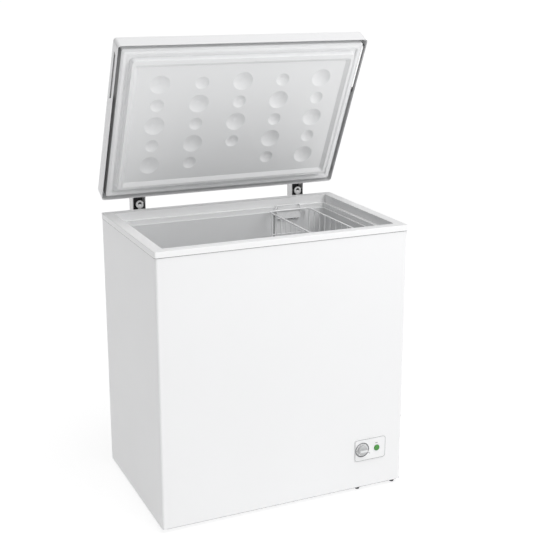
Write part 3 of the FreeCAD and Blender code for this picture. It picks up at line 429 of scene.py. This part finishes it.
# ------------------------------------------------------------------ basket
bx0, bx1, by = 135.8, 272.2, 191.2
zt, zb = 767.2, 587.4
bm = bmesh.new()
ring = [P(x, y, zt) for x, y in rr_outline(bx0, bx1, -by, by, 16, 7)]
tube(bm, ring, 2.6 * MM, 12, True)
ring = [P(x, y, zb + 1.2) for x, y in rr_outline(bx0 + 4, bx1 - 4, -by + 4, by - 4, 14, 7)]
tube(bm, ring, 2.1 * MM, 10, True)
ring = [P(x, y, 694) for x, y in rr_outline(bx0 + 1.2, bx1 - 1.2, -by + 1.2, by - 1.2, 15, 7)]
tube(bm, ring, 1.7 * MM, 10, True)
for k in range(11):
    y = -180 + 36 * k
    w = [P(bx0 + 3.6, y, zt + 1.5), P(bx0 + 8.0, y, zb + 4.6), P(bx1 - 8.0, y, zb + 4.6), P(bx1 - 3.6, y, zt + 1.5)]
    tube(bm, round_path(w, 9 * MM, 6), 1.55 * MM, 10)
for k in range(4):
    x = bx0 + 28 + 26.8 * k
    tube(bm, [P(x, -by + 2.0, zb + 1.6), P(x, 0, zb + 1.6), P(x, by - 2.0, zb + 1.6)], 1.55 * MM, 10)
for s in (-1, 1):                       # hanging loops at both ends
    w = [P(164, s * 191.4, 756), P(164, s * 196.0, 778.2), P(164, s * 209.6, 778.4), P(244, s * 209.6, 778.4),
         P(244, s * 196.0, 778.2), P(244, s * 191.4, 756)]
    tube(bm, round_path(w, 5 * MM, 6), 1.9 * MM, 10)
basket = mesh_object("basket_wires", bm, "basket_white", "basket")
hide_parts("wire_basket")

# ------------------------------------------------------------------ gasket lips
bm = bmesh.new()
for q, z, r in ((15.6, 802.1, 0.9), (19.6, 801.0, 0.8), (24.4, 801.0, 0.8), (28.3, 802.1, 0.9)):
    pts = [L(x, y, z) for x, y in rr_outline(-371 + q, 371 - q, -252 + q, 258 - q, 5.0, 5)]
    tube(bm, pts, r * MM, 8, True)
lips = mesh_object("gasket_lips", bm, "gasket_grey", "lid")


def slab(bm, x0, x1, y0, y1, z0, z1, r=0.0):
    """A box, with its vertical-plane outline (X, Z) rounded by r."""
    pts = rr_outline(x0, x1, z0, z1, r, 4) if r else [(x0, z0), (x1, z0), (x1, z1), (x0, z1)]
    lo = [bm.verts.new(P(x, y0, z)) for x, z in pts]
    hi = [bm.verts.new(P(x, y1, z)) for x, z in pts]
    bm.faces.new(lo)
    bm.faces.new(list(reversed(hi)))
    k = len(lo)
    for i in range(k):
        bm.faces.new((lo[i], hi[i], hi[(i + 1) % k], lo[(i + 1) % k]))


# painted shade: a thin dark sheet for the shadow in the groove of the liner's back wall, and two short dark marks for
# the shade of the basket hooks on the ledge face
bm = bmesh.new()
slab(bm, 157.0, 158.9, 200.75, 202.2, 271, 757)
slab(bm, 170.2, 171.6, 205.5, 206.3, 763.5, 774.5)
slab(bm, 247.2, 248.6, 205.5, 206.3, 763.5, 774.5)
liner_shade_marks = mesh_object("liner_seam", bm, "shadow_gap", "cabinet", smooth=False)

bm = bmesh.new()                         # end plates of the basket, behind the hanging loops
for s in (-1, 1):
    a, c = sorted((s * 193.0, s * 193.8))
    slab(bm, 165.5, 243.0, a, c, 740.0, 768.5, 2.0)
plates = mesh_object("basket_end_plates", bm, "basket_white", "basket", smooth=False)
# painted shade: a row of dark dashes along the lower edge of each end plate, in the shadow_gap colour, for the shade
# under it
bm = bmesh.new()
for s in (-1, 1):
    a, c = sorted((s * 192.4, s * 193.4))
    for k in range(7):
        slab(bm, 166.5 + 11.0 * k, 173.5 + 11.0 * k, a, c, 738.2, 739.2)
plate_shade_dashes = mesh_object("basket_plate_tabs", bm, "shadow_gap", "basket", smooth=False)

# ------------------------------------------------------------------ hinge details
for i, hx in enumerate((-252.0, 265.0)):
    bm = bmesh.new()                     # pan-head screw in the ring of the yoke
    n = 24
    prof = [(5.2, 265.4), (5.2, 264.6), (4.4, 263.6), (2.8, 263.0), (0.9, 262.8)]
    rows = []
    for r, y in prof:
        rows.append([bm.verts.new(P(hx + 2.5 + r * math.cos(2 * math.pi * k / n), y, 806.0 + r * math.sin(2 * math.pi * k / n)))
                     for k in range(n)])
    for a, c in zip(rows, rows[1:]):
        for k in range(n):
            bm.faces.new((a[k], a[(k + 1) % n], c[(k + 1) % n], c[k]))
    bm.faces.new(rows[-1])
    bm.faces.new(list(reversed(rows[0])))
    slab(bm, hx - 1.5, hx + 6.5, 262.4, 265.2, 783.0, 803.5, 2.0)
    sc = mesh_object("hinge_boss_%d" % i, bm, "zinc", "cabinet")
    bm = bmesh.new()                     # bright lip along the top of the channel
    slab(bm, hx - 17.6, hx + 17.6, 265.0, 266.2, 838.5, 842.5, 0.8)
    lip = mesh_object("hinge_lip_%d" % i, bm, "zinc", "cabinet", smooth=False)
    bm = bmesh.new()                     # rubber buffer at the right of the ring
    slab(bm, hx + 13.0, hx + 19.6, 261.6, 265.6, 797.6, 815.0, 1.6)
    bf = mesh_object("hinge_buffer_%d" % i, bm, "black_rubber", "cabinet")

# ------------------------------------------------------------------ control panel graphics
yf = -247.0                              # face of the bezel
DX, DZ = 238.0, 141.5


def F(x, z, off=0.0):
    return P(x, yf - off, z)


bm = bmesh.new()
for k in range(8):                       # dial scale: eight plain ticks
    a = math.radians(225 - 270 * k / 7.0)     # generic scale
    c, s = math.cos(a), math.sin(a)
    r0, r1, w = 16.2, 19.4 if k in (0, 7) else 18.4, 0.45
    q = [(DX + c * r0 - s * w, DZ + s * r0 + c * w), (DX + c * r1 - s * w, DZ + s * r1 + c * w),
         (DX + c * r1 + s * w, DZ + s * r1 - c * w), (DX + c * r0 + s * w, DZ + s * r0 - c * w)]
    plate(bm, [F(x, z, -0.05) for x, z in q], (0, -1, 0), 0.12 * MM)
n = 72
rows = [[bm.verts.new(P(DX + r * math.cos(2 * math.pi * k / n), y, DZ + r * math.sin(2 * math.pi * k / n))) for k in range(n)]
        for r, y in ((19.7, -248.05), (19.9, -248.4), (22.1, -248.4), (22.4, -248.05))]
for a, c in zip(rows, rows[1:] + rows[:1]):      # dark printed ring round the dial
    for k in range(n):
        bm.faces.new((a[k], a[(k + 1) % n], c[(k + 1) % n], c[k]))
marks = mesh_object("dial_marks", bm, "ink", "cabinet", smooth=False)

bm = bmesh.new()
plate(bm, [F(x, z, -0.05) for x, z in ((281.5, 154.4), (289.5, 154.4), (289.5, 156.0), (281.5, 156.0))], (0, -1, 0), 0.12 * MM)
plate(bm, [F(x, z, -0.05) for x, z in ((256.6, 130.0), (264.8, 125.2), (265.4, 126.2), (257.2, 131.0))], (0, -1, 0), 0.12 * MM)
dash = mesh_object("panel_marks", bm, "ink", "cabinet", smooth=False)

bm = bmesh.new()                         # fine moulded line round the control panel, drawn as a grey tube: painted shade for the shade in its groove
pts = [F(x, z, -0.12) for x, z in rr_outline(215.4, 314.4, 107.1, 172.4, 7.6, 6)]
tube(bm, pts, 0.62 * MM, 8, True)
line = mesh_object("panel_line", bm, "painted_line_shade", "cabinet")

bm = bmesh.new()                         # pointer groove across the grip of the knob
plate(bm, [P(x, -260.45, z) for x, z in rr_outline(227.0, 249.0, 138.8, 144.2, 2.2, 5)], (0, -1, 0), 0.18 * MM)
pointer = mesh_object("knob_pointer", bm, "pale_tip", "knob", smooth=False)

# ------------------------------------------------------------------ seams and channels, with their shade painted on as dark lines and strips
bm = bmesh.new()                         # grey line in the gap between the wrap and the overhanging rim: painted shade for the shadow under the rim
pts = [P(x, y, 783.1) for x, y in rr_outline(-369.6, 369.6, -245.6, 245.6, 6.0, 5)]
tube(bm, pts, 0.8 * MM, 8, True)
gap = mesh_object("rim_seam", bm, "painted_line_shade", "cabinet")
bm = bmesh.new()                         # grey line along the lower front edge: painted shade for the shadow line under the edge
tube(bm, [P(-356, -244.3, 23.7), P(0, -244.3, 23.7), P(356, -244.3, 23.7)], 0.75 * MM, 8)
front_shade_line = mesh_object("front_hem", bm, "painted_line_shade", "cabinet")
bm = bmesh.new()                         # dark grey strips along the side channels of the lid: painted shade for the deep shade inside the channels
for s in (-1, 1):
    a, c = sorted((s * 358.7, s * 359.5))
    q = [(a, -236), (c, -236), (c, 244), (a, 244)]
    lo = [bm.verts.new(L(x, y, 807.0)) for x, y in q]
    hi = [bm.verts.new(L(x, y, 830.6)) for x, y in q]
    bm.faces.new(lo)
    bm.faces.new(list(reversed(hi)))
    for i in range(4):
        bm.faces.new((lo[i], hi[i], hi[(i + 1) % 4], lo[(i + 1) % 4]))
strips = mesh_object("channel_strips", bm, "painted_channel_shade", "lid", smooth=False)

for obj in bpy.data.objects:             # the trims behind the finger slots lie in deep shade, painted on by giving them the dark grey channel colour
    if obj.type == "MESH" and "lid_side_grips" in obj.name:
        for ms in obj.material_slots:
            ms.material = M["painted_channel_shade"]

# ------------------------------------------------------------------ floor
bm = bmesh.new()
rings = (0.0, 1.5, 4.0, 12.0, 30.0, 95.0)
N = 64
prev = [bm.verts.new((0.0, 0.0, -0.0003))]
for r in rings[1:]:
    ring = [bm.verts.new((r * math.cos(2 * math.pi * k / N), r * math.sin(2 * math.pi * k / N), -0.0003)) for k in range(N)]
    for k in range(N):
        if len(prev) == 1:
            bm.faces.new((prev[0], ring[k], ring[(k + 1) % N]))
        else:
            bm.faces.new((prev[k], ring[k], ring[(k + 1) % N], prev[(k + 1) % N]))
    prev = ring
me = bpy.data.meshes.new("studio_floor")
bm.to_mesh(me)
bm.free()
floor = bpy.data.objects.new("studio_floor", me)
scene.collection.objects.link(floor)
fm, nt, b = shader("studio_floor")
link(nt, ramp(nt, noise(nt, 0.8, 2.0), [(0.3, (0.27, 0.27, 0.27)), (0.7, (0.29, 0.29, 0.29))]), b.inputs["Base Color"])
b.inputs["Roughness"].default_value = 0.9
b.inputs["Specular IOR Level"].default_value = 0.05
b.inputs["Emission Color"].default_value = (1.0, 1.0, 1.0, 1.0)
b.inputs["Emission Strength"].default_value = 0.83
me.materials.append(fm)
